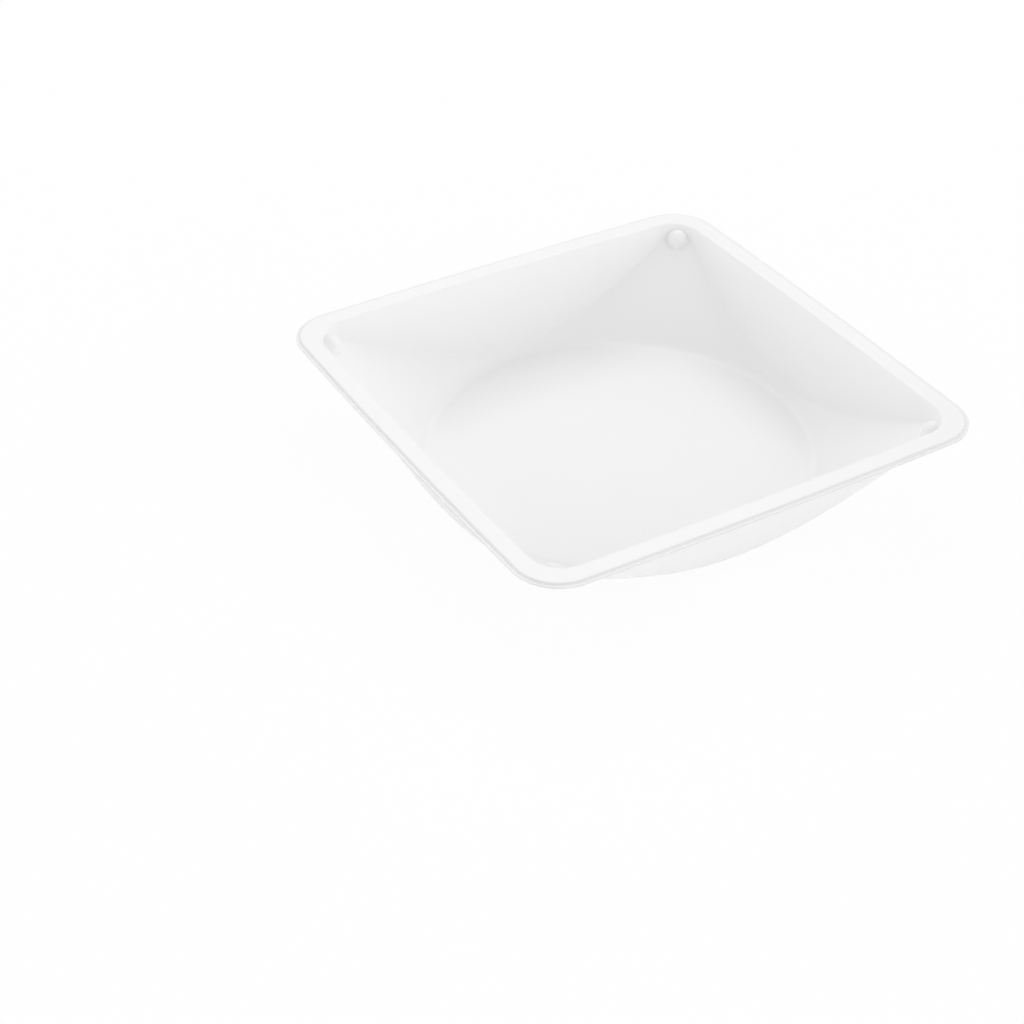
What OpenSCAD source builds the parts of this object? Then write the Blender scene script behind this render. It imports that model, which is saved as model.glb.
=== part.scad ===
// Square weighing boat, formed from one thin sheet of plastic.
// A round flat floor rises into a shallow conical bowl. Four leaning side panels, shaped like
// a capital D, cut the bowl in crisp arcs, and a flat rim with rounded corners runs round the top.
// A round button lug stands on the bowl in each corner, so that stacked boats come apart.
// Millimetres, +Z up. The origin is the middle of the resting face under the floor.

/* [Overall] */
// Width of the square rim, edge to edge at mid side
rim_w = 140; // [120:1:180]
// Height from the resting face to the top of the rim
height = 25; // [20:0.5:30]
// Thickness of the formed sheet
sheet = 0.4; // [0.3:0.05:0.6]

/* [Rim] */
// Radius of the rim's outer corners
corner_r = 13; // [12:0.5:16]
// Radius of the slight outward bow of each side
bow_r = 2600; // [1500:50:6000]
// Width of the rim at mid side, from its outer edge to the line of the side panel
flange_w = 6.3; // [5.5:0.1:7]
// Radius of the dish's own corners, at the line of the side panels
dish_corner_r = 7; // [6:0.25:9]
// Radius of the turn from the rim down into the side panel
inner_r = 1.5; // [1:0.1:2]
// Radius of the turn at the rim's outer edge
edge_r = 1.4; // [1.2:0.1:2]
// Height of the turned-down lip, from the top of the rim to the underside of its foot
lip_h = 1.2; // [1:0.1:1.4]
// Width of the small foot that sticks out under the turned edge
foot_w = 0.55; // [0.4:0.05:1]

/* [Dish] */
// Lean of the side panels from upright, in degrees
panel_lean = 17; // [12:0.5:22]
// Slope of the bowl from level, in degrees
bowl_slope = 35; // [32:0.5:38]
// Depth of upright wall left in each corner, between the top of the rim and the bowl
corner_wall = 2.2; // [1.8:0.1:3]
// Radius of the fillet between floor and bowl
floor_fillet = 6; // [3:0.5:12]

/* [Lugs] */
// Diameter of a corner lug
lug_d = 7.4; // [6:0.2:8.4]
// Height of a lug above the bowl
lug_h = 1; // [0.8:0.1:1.6]
// Radius round the top edge of a lug
lug_edge_r = 0.7; // [0.65:0.05:0.8]
// Distance from the corner's wall line in to the middle of its lug
lug_in = 3.5; // [3.2:0.1:5.5]

/* [Hidden] */
$fn = 96;
bow_fn = 1800;                             // keeps the very large bow arcs smooth
lip_fn = 12;                               // a few flats round the small turned edge of the rim
over = 1;                                  // how far a cutting shape runs past what it cuts
half = rim_w / 2;
// The bow arc and the corner arc are tangent where both are turned by this angle.
bow_a = acos((bow_r - half) / (bow_r - corner_r) / sqrt(2)) - 45;
corner_c = (bow_r - corner_r) * sin(bow_a);
// Sections of the rim are drawn in (u, z), with u = 0 at its outer edge and negative inwards.
edge_u = -foot_w - sqrt(pow(edge_r, 2) - pow(edge_r - lip_h + sheet, 2));
edge_z = height - edge_r;
// Sections of the panels are drawn in (x, z), with x measured from the axis of a dish corner.
dish_c = half - flange_w - dish_corner_r;
flare_x = dish_corner_r + inner_r * tan((90 - panel_lean) / 2);
flare_z = height - inner_r;
// The bowl meets the wall in the corners, which fixes how wide the floor is.
wall_diagonal = dish_c * sqrt(2) + dish_corner_r - corner_wall * tan(panel_lean);
floor_r = wall_diagonal - (height - sheet - corner_wall) / tan(bowl_slope);
lug_x = wall_diagonal - lug_in;
lug_z = sheet + (lug_x - floor_r) * tan(bowl_slope);
lug_root = 3;                              // how far a lug's shape runs down through the sheet

// Distance of a panel face from the corner axis; skin = 0 is the inner face, sheet the outer one.
function wall_x(z, skin) = dish_corner_r + skin / cos(panel_lean) + (z - height) * tan(panel_lean);

// Height at which the leaning wall of a corner would close on the corner's own axis.
function corner_low(skin) = height - wall_x(height, skin) / tan(panel_lean);

// Section of everything inside a panel face, out from the corner axis.
module wall_section(skin, low, top) {
    turn_r = inner_r - skin;
    difference() {
        polygon([
            [0, low],
            [wall_x(low, skin), low],
            [flare_x - turn_r * cos(panel_lean), flare_z + turn_r * sin(panel_lean)],
            [flare_x, flare_z],
            [flare_x, top],
            [0, top]
        ]);
        translate([flare_x, flare_z]) circle(turn_r);
    }
}

// The leaning square formed by the four side panels, filled in.
module panel_square(skin, top) {
    low = max(corner_low(skin) + over, sheet);
    for (turn = [0:90:270]) rotate(turn) {
        translate([dish_c, 0, 0]) rotate([90, 0, 0])
            linear_extrude(2 * dish_c, center = true) wall_section(skin, low, top);
        translate([dish_c, dish_c, 0]) rotate_extrude(angle = 90) wall_section(skin, low, top);
    }
    translate([-dish_c, -dish_c, -over]) cube([2 * dish_c, 2 * dish_c, top + over]);
}

// The filled bowl: flat floor, fillet and cone.
module bowl(skin) {
    floor_z = sheet - skin;
    top_z = height + 2 * over;
    turn_r = floor_fillet + skin;
    // The fillet's arc runs from the edge of the flat floor up to the foot of the cone.
    flat_r = floor_r + skin * tan(bowl_slope / 2) - turn_r * tan(bowl_slope / 2);
    foot_r = flat_r + turn_r * sin(bowl_slope);
    foot_z = floor_z + turn_r * (1 - cos(bowl_slope));
    reach = 2 * turn_r;
    rotate_extrude() {
        polygon([
            [0, floor_z],
            [flat_r, floor_z],
            [foot_r, foot_z],
            [foot_r + (top_z - foot_z) / tan(bowl_slope), top_z],
            [0, top_z]
        ]);
        translate([flat_r, floor_z + turn_r]) intersection() {
            circle(turn_r);
            polygon([[0, 0], [0, -reach], [reach * tan(bowl_slope), -reach]]);
        }
    }
}

// The hollow of the dish, or with skin = sheet the whole formed shape under the rim.
module dish_shape(skin, top) {
    intersection() {
        panel_square(skin, top);
        bowl(skin);
    }
}

// Section of the flat rim, its turned edge and the small foot under it.
module rim_section() {
    inner_u = flare_x - dish_corner_r - flange_w - over;
    difference() {
        union() {
            translate([inner_u, height - sheet]) square([edge_u - inner_u, sheet]);
            intersection() {
                translate([edge_u, edge_z]) circle(edge_r, $fn = lip_fn);
                translate([edge_u, height - lip_h]) square([edge_r, lip_h]);
            }
            translate([edge_u, height - lip_h]) square([-edge_u, sheet]);
        }
        translate([edge_u, edge_z]) circle(edge_r - sheet, $fn = lip_fn);
    }
}

// The rim: its section carried along the bowed sides and round the corners.
module rim() {
    for (turn = [0:90:270]) rotate(turn)
        translate([half - bow_r, 0, 0]) rotate(-bow_a)
            rotate_extrude(angle = 2 * bow_a, $fn = bow_fn)
                translate([bow_r, 0]) rim_section();
    for (turn = [0:90:270]) rotate(turn)
        translate([corner_c, corner_c, 0]) rotate(bow_a)
            rotate_extrude(angle = 90 - 2 * bow_a) translate([corner_r, 0]) rim_section();
}

// One lug in each corner; skin = 0 gives the outside of the lugs, sheet the dents under them.
module lugs(skin) {
    lug_r = lug_d / 2 - skin;
    turn_r = lug_edge_r - skin;
    for (turn = [45:90:315]) rotate(turn)
        translate([lug_x, 0, lug_z]) rotate([0, -bowl_slope, 0]) rotate_extrude() {
            translate([0, -lug_root]) square([lug_r, lug_root + lug_h - skin - turn_r]);
            square([lug_r - turn_r, lug_h - skin]);
            translate([lug_r - turn_r, lug_h - skin - turn_r]) intersection() {
                circle(turn_r);
                square(turn_r);
            }
        }
}

module boat() {
    color("white") difference() {
        union() {
            dish_shape(sheet, height);
            rim();
        }
        lugs(sheet);
        difference() {
            dish_shape(0, height + over);
            lugs(0);
        }
    }
}

boat();
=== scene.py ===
"""A square weighing boat of thin white plastic, standing alone on a pale floor.

Lengths in the shape functions are millimetres; the mesh is written in metres. The boat's
origin is the middle of its resting face, +Z is up, and the rim's sides face +-X and +-Y.
"""
import math

import bpy
import numpy as np
from mathutils import Matrix


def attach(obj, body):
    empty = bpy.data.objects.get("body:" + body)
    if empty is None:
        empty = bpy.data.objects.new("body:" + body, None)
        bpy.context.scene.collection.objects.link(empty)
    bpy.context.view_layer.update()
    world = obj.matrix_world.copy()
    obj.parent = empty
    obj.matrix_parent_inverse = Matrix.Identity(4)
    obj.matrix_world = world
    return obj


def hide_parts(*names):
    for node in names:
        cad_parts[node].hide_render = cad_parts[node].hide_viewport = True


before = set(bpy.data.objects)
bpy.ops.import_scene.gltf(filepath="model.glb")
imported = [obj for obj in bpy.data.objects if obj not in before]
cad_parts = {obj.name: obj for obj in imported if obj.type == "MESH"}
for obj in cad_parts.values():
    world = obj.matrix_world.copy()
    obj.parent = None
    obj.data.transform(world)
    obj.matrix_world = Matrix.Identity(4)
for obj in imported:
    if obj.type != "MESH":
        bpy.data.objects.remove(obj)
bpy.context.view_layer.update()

# ---------------------------------------------------------------- sizes of the boat, in mm
HALF = 69.999            # middle of the boat to that of a rim side, a hair inside the solid
HEIGHT = 25.0            # resting face to the top of the rim
SHEET = 0.4              # thickness of the plastic
CORNER_R = 13.0          # rim's outer corners, in plan
BOW_R = 2600.0           # slight outward bow of each side
FLANGE_W = 6.25          # rim's outer edge to the line of the side panel
PANEL_CORNER_R = 9.0     # corners of that line, in plan
INNER_R = 0.75           # turn from the rim down into the panel
EDGE_R = 0.42            # turn at the rim's outer edge
LIP_H = 0.97             # top of the rim to the underside of its foot
FOOT_W = 0.75            # foot under the turned edge
PANEL_LEAN = math.radians(16.4)
BOWL_SLOPE = math.radians(35)
FLOOR_R = 54.35          # flat floor, to the sharp corner under its fillet
FLOOR_FILLET = 6.0
CREASE = 0.7             # how far a crease's rounding reaches along each of its two faces
CREASE_SHARE = 0.45      # largest share of a panel's length that the rounding may take
LUG_R = 3.4              # foot of a lug
LUG_H = 2.9              # top of a lug above the bowl
LUG_X = 83.6             # axis of the boat to the middle of a lug's foot
LUG_POWER = 2.6          # how full a lug's dome is
TO_METRES = 0.001

# ---------------------------------------------------------------- the sheet's grid
SIDE_STEPS = 28          # stations along each side of the rim
CORNER_STEPS = 78        # and round each of its corners
TURN_ROWS = 10           # rows over the rim's outer turn, and as many over its inner one
FLAT_ROWS = 4            # between the two turns
PANEL_ROWS = 11
CREASE_ROWS = 7
HALVINGS = 50            # steps in which the crease's depth is found
LUG_BAND = 0.15          # share of the cone, from the top, in which the lugs stand
LUG_ROWS = 30            # rows in that share, close together
CONE_ROWS = 22           # rows in the rest of the cone
CONE_SPREAD = 1.3        # how much wider apart they lie towards the floor
FILLET_ROWS = 7
FLOOR_ROWS = 8
FLOOR_HOLE = 0.04        # share of the flat floor's radius that a fan closes

# ---------------------------------------------------------------- painted shade of the rim's edge
CUT_SHADE = 0.6          # on the sheet's cut edge
CUT_SHADE_W = 0.06       # how far in from the cut edge it fades out
TURN_SHADE = 0.5         # at both ends of the outer turn
TURN_SHADE_MORE = 0.45   # added in the middle of the turn
STRIP_SHADE = ((0.2, 0.15), (0.5, 0))    # distance in from the turn, and the shade there
WALL_GUARDS = (0.1, 0.04)                # rows of the foot this near the wall, see edge_profile

# ---------------------------------------------------------------- the camera
PICTURE_PX = 1024
FOCAL_PX = 2015.18       # focal length in pixels of a picture that wide
SENSOR_MM = 36.0
CAM_AZ = math.radians(58.563)            # from -Y towards +X
CAM_EL = math.radians(37.350)
CAM_ROLL = math.radians(0.657)
CAM_DIST = 0.49765
CAM_LOOK = (0.03740, -0.05778, 0.025)


def placed(axes, place):
    """Matrix whose columns are three axes and a place."""
    matrix = Matrix.Identity(4)
    for col, axis in enumerate((*axes, place)):
        for row in range(3):
            matrix[row][col] = float(axis[row])
    return matrix


def add_camera():
    """Camera looking at CAM_LOOK along azimuth and elevation, turned by its small roll."""
    sin_a, cos_a = math.sin(CAM_AZ), math.cos(CAM_AZ)
    sin_e, cos_e = math.sin(CAM_EL), math.cos(CAM_EL)
    back = np.array([sin_a * cos_e, -cos_a * cos_e, sin_e])
    right = np.array([cos_a, sin_a, 0.0])
    up = np.cross(back, right)
    cos_r, sin_r = math.cos(CAM_ROLL), math.sin(CAM_ROLL)
    axes = (cos_r * right + sin_r * up, cos_r * up - sin_r * right, back)
    data = bpy.data.cameras.new("camera")
    data.sensor_width = SENSOR_MM
    data.lens = FOCAL_PX / PICTURE_PX * SENSOR_MM
    data.clip_start = 0.01
    camera = bpy.data.objects.new("camera", data)
    camera.matrix_world = placed(axes, np.array(CAM_LOOK) + back * CAM_DIST)
    bpy.context.scene.collection.objects.link(camera)
    bpy.context.scene.camera = camera


add_camera()


# ---------------------------------------------------------------- shape of the sheet
def rim_path(half, corner_r, bow_r):
    """Points and outward normals round a square with rounded corners, starting at the +X side.

    A side is an arc of radius bow_r about (half - bow_r, 0), turned through +-bow; a corner is
    an arc of radius corner_r about (c, c), turned from bow to 90 - bow degrees. Both arcs are
    tangent where cos(bow + 45 deg) = (bow_r - half) / (bow_r - corner_r) / sqrt 2. Stations
    stand closer together towards the ends of a side, by a cosine.
    """
    bow = math.acos((bow_r - half) / (bow_r - corner_r) / math.sqrt(2)) - math.pi / 4
    corner_c = (bow_r - corner_r) * math.sin(bow)
    side = -bow * np.cos(np.pi * np.arange(SIDE_STEPS) / SIDE_STEPS)
    corner = bow + (np.pi / 2 - 2 * bow) * np.arange(CORNER_STEPS) / CORNER_STEPS
    points = np.concatenate([
        np.stack([half - bow_r + bow_r * np.cos(side), bow_r * np.sin(side)], 1),
        corner_c + corner_r * np.stack([np.cos(corner), np.sin(corner)], 1),
    ])
    angle = np.concatenate([side, corner])
    normals = np.stack([np.cos(angle), np.sin(angle)], 1)
    turns = [np.array([[math.cos(a), math.sin(a)], [-math.sin(a), math.cos(a)]])
             for a in np.radians([0, 90, 180, 270])]
    return (np.concatenate([points @ t for t in turns]),
            np.concatenate([normals @ t for t in turns]))


def edge_profile():
    """Rim's outer edge in (u, z, shade), u from the outline: foot, turn and strip.

    The foot is level, and an upright wall joins it to the turn, an arc of radius EDGE_R. The
    strip is the outermost part of the flat. The shade is painted shade, how much darker the
    plastic's colour is painted there: CUT_SHADE on the cut edge, TURN_SHADE + TURN_SHADE_MORE *
    sin(2 turn) on the arc, and from there it fades out over the strip. The guards are rows of the
    foot next to the wall: without them the foot is shaded as if it leaned.
    """
    foot_z = HEIGHT - LIP_H + SHEET
    flat_u = -FOOT_W - EDGE_R
    foot = [[0, foot_z, CUT_SHADE], [-CUT_SHADE_W, foot_z, 0],
            *([-FOOT_W + gap, foot_z, 0] for gap in WALL_GUARDS)]
    turn = np.linspace(0, math.pi / 2, TURN_ROWS)
    arc = np.stack([flat_u + EDGE_R * np.cos(turn), HEIGHT - EDGE_R + EDGE_R * np.sin(turn),
                    TURN_SHADE + TURN_SHADE_MORE * np.sin(2 * turn)], 1)
    strip = [[flat_u - width, HEIGHT, shade] for width, shade in STRIP_SHADE]
    return np.concatenate([foot, arc, strip])


def turn_profile():
    """Rim's inner turn in (u, z): an arc of radius INNER_R from the flat into the panel."""
    setback = INNER_R * math.tan((math.pi / 2 - PANEL_LEAN) / 2)
    turn = np.linspace(math.pi / 2, math.pi - PANEL_LEAN, TURN_ROWS)
    return np.stack([setback + INNER_R * np.cos(turn),
                     HEIGHT - INNER_R + INNER_R * np.sin(turn)], 1)


def floor_profile():
    """Floor in (radius, z) from the end of the cone inwards: its fillet, then the flat.

    The fillet is an arc of radius FLOOR_FILLET, tangent to the cone and to the flat.
    """
    flat_r = FLOOR_R - FLOOR_FILLET * math.tan(BOWL_SLOPE / 2)
    turn = np.linspace(BOWL_SLOPE, 0, FILLET_ROWS + 1)
    fillet = np.stack([flat_r + FLOOR_FILLET * np.sin(turn),
                       SHEET + FLOOR_FILLET * (1 - np.cos(turn))], 1)
    radius = flat_r * np.linspace(1, FLOOR_HOLE, FLOOR_ROWS + 1)[1:]
    return np.concatenate([fillet, np.stack([radius, np.full(FLOOR_ROWS, SHEET)], 1)])


def raised(plan, z):
    """Points (x, y) with z added: one height for all, or an array of heights that fits them."""
    return np.concatenate([plan, np.broadcast_to(z, plan.shape[:-1])[..., None]], -1)


def sweep(points, normals, profile):
    """The profile's (u, z) carried round a path: u along the path's normals, z upwards."""
    return raised(points[:, None] + profile[None, :, 0, None] * normals[:, None], profile[:, 1])


def rows_between(start, end, shares):
    """Rows on straight lines from start to end: start * (1 - share) + end * share."""
    t = shares[None, :, None]
    return start[:, None] * (1 - t) + end[:, None] * t


def blend_curve(start, corner, end):
    """Quadratic curve from start to end, pulled to corner: the rounding of a crease."""
    t = np.linspace(0, 1, CREASE_ROWS)[None, :, None]
    return ((1 - t) ** 2 * start[:, None] + 2 * t * (1 - t) * corner[:, None]
            + t ** 2 * end[:, None])


def bowl_radius(z):
    """Radius of the cone at height z: the floor's radius plus height over the slope's tangent."""
    return FLOOR_R + (z - SHEET) / math.tan(BOWL_SLOPE)


def crease_line(points, normals):
    """Where each panel line meets the cone; the depth under the rim is found by halving."""
    low = np.full(len(points), INNER_R)
    high = np.full(len(points), HEIGHT - SHEET)
    for _ in range(HALVINGS):
        depth = (low + high) / 2
        plan = points - (depth * math.tan(PANEL_LEAN))[:, None] * normals
        outside = np.hypot(*plan.T) < bowl_radius(HEIGHT - depth)
        low, high = np.where(outside, depth, low), np.where(outside, high, depth)
    depth = (low + high) / 2
    return raised(points - (depth * math.tan(PANEL_LEAN))[:, None] * normals, HEIGHT - depth)


def cone_shares():
    """Shares of the cone's length, from crease to floor, at which its rows lie.

    They are even and close in the lugs' band, and spread out below it by a power.
    """
    rest = np.linspace(0, 1, CONE_ROWS + 1)[1:] ** CONE_SPREAD
    return np.concatenate([np.linspace(0, LUG_BAND, LUG_ROWS + 1)[1:],
                           LUG_BAND + (1 - LUG_BAND) * rest])


def raise_lugs(grid):
    """Lifts the sheet square to the bowl up to four domes, where it lies below them.

    At distance rho from its axis a dome is LUG_H * (1 - (rho / LUG_R)^LUG_POWER) high.
    """
    out = grid.copy()
    foot_z = SHEET + (LUG_X - FLOOR_R) * math.tan(BOWL_SLOPE)
    sin_s, cos_s = math.sin(BOWL_SLOPE), math.cos(BOWL_SLOPE)
    for angle in np.radians([45, 135, 225, 315]):
        ray = np.array([math.cos(angle), math.sin(angle), 0])
        axis = -sin_s * ray + np.array([0, 0, cos_s])
        offset = grid - (LUG_X * ray + np.array([0, 0, foot_z]))
        along = offset @ axis
        rho = np.linalg.norm(offset - along[..., None] * axis, axis=-1)
        dome = LUG_H * (1 - np.minimum(rho / LUG_R, 1) ** LUG_POWER)
        lift = np.where(rho < LUG_R, np.maximum(dome - along, 0), 0)
        out += lift[..., None] * axis
    return out


def sheet_grid():
    """Upper face of the sheet as a grid: stations round the rim by rows from rim to floor.

    Each set of rows follows one form: the rim's edge, its flat and its inner turn, the
    straight panel down to the crease, the crease's rounding, the cone along its own straight
    lines towards the middle, the floor's fillet, and the flat floor.
    """
    edge = sweep(*rim_path(HALF, CORNER_R, BOW_R), edge_profile())
    points, normals = rim_path(HALF - FLANGE_W, PANEL_CORNER_R, BOW_R - FLANGE_W)
    turned = sweep(points, normals, turn_profile())
    rim_flat = rows_between(edge[:, -1], turned[:, 0], np.linspace(0, 1, FLAT_ROWS + 2)[1:-1])
    crease = crease_line(points, normals)
    panel_top = turned[:, -1]
    up_panel = panel_top - crease
    length = np.linalg.norm(up_panel, axis=1, keepdims=True)
    up_panel /= length
    inward = -crease[:, :2] / np.linalg.norm(crease[:, :2], axis=1, keepdims=True)
    down_cone = raised(inward * math.cos(BOWL_SLOPE), -math.sin(BOWL_SLOPE))
    crease_start = crease + np.minimum(CREASE, CREASE_SHARE * length) * up_panel
    crease_end = crease + CREASE * down_cone
    panel = rows_between(panel_top, crease_start, np.linspace(0, 1, PANEL_ROWS + 2)[1:-1])
    bend = blend_curve(crease_start, crease, crease_end)
    radius, level = floor_profile().T
    cone = rows_between(crease_end, raised(-inward * radius[0], level[0]), cone_shares())
    floor = raised(-inward[:, None] * radius[None, 1:, None], level[1:])
    bowl = raise_lugs(np.concatenate([panel, bend, cone], 1))
    return np.concatenate([edge, rim_flat, turned, bowl, floor], 1)


def grid_normals(grid):
    """Unit normals of a grid that closes round its first index, from the crossed differences.

    They point up on the floor, and so to the upper side everywhere.
    """
    around = np.roll(grid, -1, 0) - np.roll(grid, 1, 0)
    across = np.gradient(grid, axis=1)
    normal = np.cross(across, around)
    normal /= np.linalg.norm(normal, axis=2, keepdims=True)
    return normal * np.sign(normal[:, -1:, 2:])


def sheet_faces(count, rows):
    """Faces of the closed sheet: its upper and lower layer, the cut edge and the two fans.

    The vertices are the upper grid's, the lower grid's and the middle of each layer's floor.
    """
    layer = count * rows                       # vertices in one grid
    start = np.arange(count)[:, None] * rows   # first vertex of each station
    start2 = np.roll(start, -1, 0)             # and of the next one
    row = np.arange(rows - 1)
    upper = np.stack([start + row, start2 + row, start2 + row + 1, start + row + 1], -1)
    lower = upper[..., ::-1] + layer
    edge = np.concatenate([start2, start, start + layer, start2 + layer], 1)
    last, last2 = start + rows - 1, start2 + rows - 1
    middle = np.full_like(last, 2 * layer)
    fan_top = np.concatenate([last, last2, middle], 1)
    fan_low = np.concatenate([last2 + layer, last + layer, middle + 1], 1)
    return [*upper.reshape(-1, 4).tolist(), *lower.reshape(-1, 4).tolist(), *edge.tolist(),
            *fan_top.tolist(), *fan_low.tolist()]


def add_piece(name, verts, faces):
    """A new mesh object in the scene, from vertices in metres."""
    mesh = bpy.data.meshes.new(name)
    mesh.from_pydata(verts, [], faces)
    piece = bpy.data.objects.new(name, mesh)
    bpy.context.scene.collection.objects.link(piece)
    return piece


def build_boat():
    """Closed thin body: the grid, and the same grid one sheet thickness lower.

    The painted shade of the rim's edge goes into the first coordinate of a UV map.
    """
    upper = sheet_grid()
    count, rows = upper.shape[:2]
    normal = grid_normals(upper)
    normal[:, :2] = (0, 0, 1)                  # so the cut edge stands upright
    lower = upper - SHEET * normal
    middles = np.array([[0, 0, SHEET], [0, 0, 0]])
    verts = np.concatenate([upper.reshape(-1, 3), lower.reshape(-1, 3), middles]) * TO_METRES
    piece = add_piece("boat_sheet", verts.tolist(), sheet_faces(count, rows))
    mesh = piece.data
    mesh.shade_smooth()
    mesh.validate()
    profile = edge_profile()
    shade = np.zeros((2, count, rows))
    shade[0, :, :len(profile)] = profile[:, 2]
    shade[1, :, 0] = CUT_SHADE
    shade = np.append(shade, np.zeros(len(middles)))
    corner = np.zeros(len(mesh.loops), dtype=np.int32)
    mesh.loops.foreach_get("vertex_index", corner)
    edge_shade = mesh.uv_layers.new(name="edge_shade")
    edge_shade.data.foreach_set("uv", np.stack([shade[corner], 0 * shade[corner]], 1).ravel())
    return piece


boat = build_boat()
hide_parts("boat")
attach(boat, "root")


# ---------------------------------------------------------------- writing shaders
class Wire:
    """A shader socket; arithmetic on it adds Math nodes to its tree."""

    def __init__(self, tree, socket):
        self.tree, self.socket = tree, socket

    def __add__(self, other):
        return self.tree.math("ADD", self, other)

    def __sub__(self, other):
        return self.tree.math("SUBTRACT", self, other)

    def __rsub__(self, other):
        return self.tree.math("SUBTRACT", other, self)

    def __mul__(self, other):
        return self.tree.math("MULTIPLY", self, other)

    __radd__, __rmul__ = __add__, __mul__


class Tree:
    """The node tree of a material or of the world."""

    def __init__(self, owner):
        owner.use_nodes = True
        self.nodes, self.links = owner.node_tree.nodes, owner.node_tree.links

    def feed(self, node, sockets):
        """Links each socket that is given a wire, and sets the others to their values."""
        for name, value in sockets.items():
            if isinstance(value, Wire):
                self.links.new(value.socket, node.inputs[name])
            else:
                node.inputs[name].default_value = value

    def node(self, kind, settings, sockets):
        """A new node: its settings are set first, then the values or links of its sockets."""
        node = self.nodes.new(kind)
        for name, value in settings.items():
            setattr(node, name, value)
        self.feed(node, sockets)
        return node

    def wire(self, node, output):
        """One of a node's outputs."""
        return Wire(self, node.outputs[output])

    def math(self, operation, *values):
        """What a Math node makes of wires and numbers."""
        sockets = dict(enumerate(values))
        return self.wire(self.node("ShaderNodeMath", {"operation": operation}, sockets), 0)

    def split(self, vector):
        """The three parts of a vector."""
        parts = self.node("ShaderNodeSeparateXYZ", {}, {"Vector": vector})
        return [self.wire(parts, axis) for axis in "XYZ"]

    def noise(self, place, scale, detail):
        """Smooth noise between 0 and 1; scale is in waves per metre of place."""
        sockets = {"Scale": scale, "Detail": detail, "Vector": place}
        return self.wire(self.node("ShaderNodeTexNoise", {}, sockets), "Fac")


# ---------------------------------------------------------------- the plastic
WHITE = 0.93             # the plastic's own white
EDGE_PAINTED_DARKER = 0.15       # painted shade: the colour is this much darker where the edge's shade is 1
ROUGHNESS = 0.26         # where it is smoothest
WEAR = 0.08              # how much rougher it gets elsewhere
RIPPLE, GRAIN = 0.7, 0.02                # shares of the bump's height


def white_sheet():
    """White satin polystyrene: soft gloss that varies a little, and a faint ripple and grain."""
    material = bpy.data.materials.new("white_polystyrene")
    tree = Tree(material)
    coords = tree.node("ShaderNodeTexCoord", {}, {})
    place = tree.wire(coords, "Object")
    edge_shade = tree.split(tree.wire(coords, "UV"))[0]
    height = (RIPPLE * tree.noise(place, scale=28, detail=2)
              + GRAIN * tree.noise(place, scale=900, detail=2))
    bump = tree.node("ShaderNodeBump", {}, {
        "Strength": 0.25,
        "Distance": 0.0006,
        "Height": height,
    })
    tree.feed(tree.nodes["Principled BSDF"], {
        # painted shade: the base colour is darker along the rim's outer edge and its cut edge
        "Base Color": WHITE - EDGE_PAINTED_DARKER * edge_shade,
        "Roughness": ROUGHNESS + WEAR * tree.noise(place, scale=60, detail=3),
        "IOR": 1.5,
        "Subsurface Weight": 0.1,
        "Subsurface Radius": (1.0, 1.0, 1.0),
        "Subsurface Scale": 0.0012,
        "Normal": tree.wire(bump, "Normal"),
    })
    return material


boat.data.materials.append(white_sheet())


# ---------------------------------------------------------------- floor, light and air
GROUND_HALF = 3.0        # middle to edge, in metres
GROUND_LEVEL = -0.00005
FLAT_WHITE = 0.94        # share of the floor's look that is flat white; the rest takes shadow
SOFTBOX_AZ, SOFTBOX_EL = 147, 45         # in degrees
SOFTBOX_AWAY = 1.2       # metres from the boat
SOFTBOX_SIZE = 0.6
SOFTBOX_POWER = 1.5
# The air is brighter low down on three sides, and darker low down behind the boat and high up
# over the camera. For each patch: azimuth and elevation in degrees, and how much its middle
# differs from the level.
AIR_LEVEL = 0.91
AIR_TIGHTNESS = 6.0
AIR_PATCHES = ((45, 8, 1.0), (225, 8, 0.85), (315, 8, 0.85), (135, 8, -0.85), (0, 45, -0.2),
               (300, 45, -0.85), (90, 60, 0.15))


def direction(azimuth, elevation):
    """Unit vector towards an azimuth from +X and an elevation, both in degrees."""
    a, e = math.radians(azimuth), math.radians(elevation)
    return np.array([math.cos(a) * math.cos(e), math.sin(a) * math.cos(e), math.sin(e)])


def seeing_rays(tree):
    """1 for rays that look at the surroundings: from the camera, off gloss or through glass."""
    path = tree.node("ShaderNodeLightPath", {}, {})
    seen = tree.wire(path, "Is Camera Ray")
    for kind in ("Is Glossy Ray", "Is Transmission Ray"):
        seen = tree.math("MAXIMUM", seen, tree.wire(path, kind))
    return seen


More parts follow.
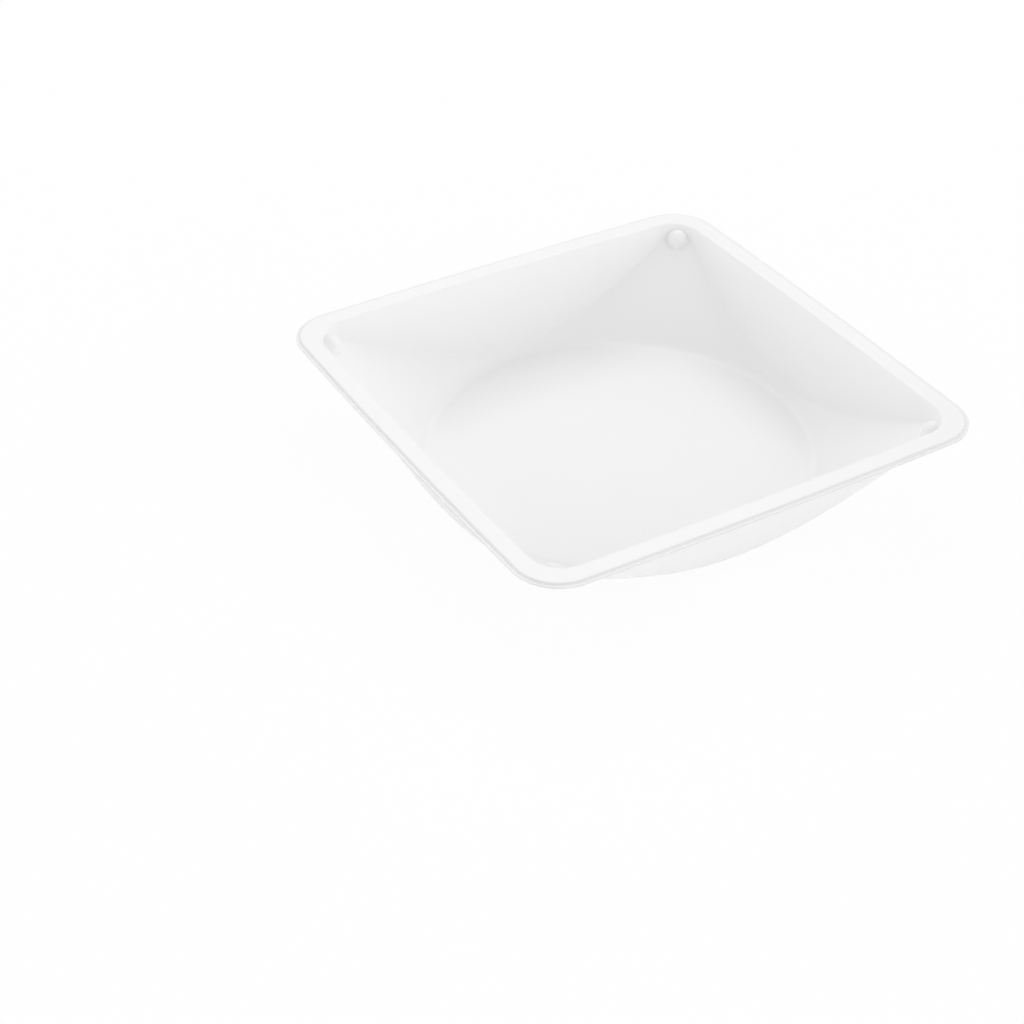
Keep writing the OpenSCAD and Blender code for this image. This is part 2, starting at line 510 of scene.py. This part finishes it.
def add_floor():
    """A wide pale floor that keeps a faint shadow of the boat, a hair under its resting face.

    Seeing rays find it mixed with a flat white, and FLAT_WHITE is the share of that white.
    """
    corners = [(x * GROUND_HALF, y * GROUND_HALF, GROUND_LEVEL)
               for x, y in ((-1, -1), (1, -1), (1, 1), (-1, 1))]
    floor = add_piece("floor", corners, [(0, 1, 2, 3)])
    material = bpy.data.materials.new("pale_floor")
    tree = Tree(material)
    plain = tree.nodes["Principled BSDF"]
    tree.feed(plain, {"Base Color": (0.97, 0.97, 0.97, 1), "Roughness": 0.9})
    white = tree.node("ShaderNodeEmission", {}, {"Strength": 1.0})
    surface = tree.node("ShaderNodeMixShader", {}, {
        "Fac": FLAT_WHITE * seeing_rays(tree),
        1: tree.wire(plain, "BSDF"),
        2: tree.wire(white, "Emission"),
    })
    tree.feed(tree.nodes["Material Output"], {"Surface": tree.wire(surface, "Shader")})
    floor.data.materials.append(material)


def add_world():
    """White air light: the level plus amount * exp(tightness * (cos angle - 1)) for each patch.

    Seeing rays find plain white instead.
    """
    world = bpy.data.worlds.new("air")
    bpy.context.scene.world = world
    tree = Tree(world)
    x, y, z = tree.split(tree.wire(tree.node("ShaderNodeTexCoord", {}, {}), "Generated"))
    light = AIR_LEVEL
    for azimuth, elevation, amount in AIR_PATCHES:
        towards = direction(azimuth, elevation)
        cosine = x * towards[0] + y * towards[1] + z * towards[2]
        light = light + amount * tree.math("EXPONENT", AIR_TIGHTNESS * (cosine - 1))
    tree.feed(tree.nodes["Background"], {
        "Color": (1, 1, 1, 1),
        "Strength": light + seeing_rays(tree) * (1 - light),
    })


def add_softbox():
    """A square soft light aimed at the boat from behind and above."""
    back = direction(SOFTBOX_AZ, SOFTBOX_EL)
    side = direction(SOFTBOX_AZ + 90, 0)
    data = bpy.data.lights.new("softbox", "AREA")
    data.size, data.energy = SOFTBOX_SIZE, SOFTBOX_POWER
    lamp = bpy.data.objects.new("softbox", data)
    lamp.matrix_world = placed((side, np.cross(back, side), back), back * SOFTBOX_AWAY)
    bpy.context.scene.collection.objects.link(lamp)


add_floor()
add_world()
add_softbox()

bpy.context.scene.view_settings.view_transform = "Standard"
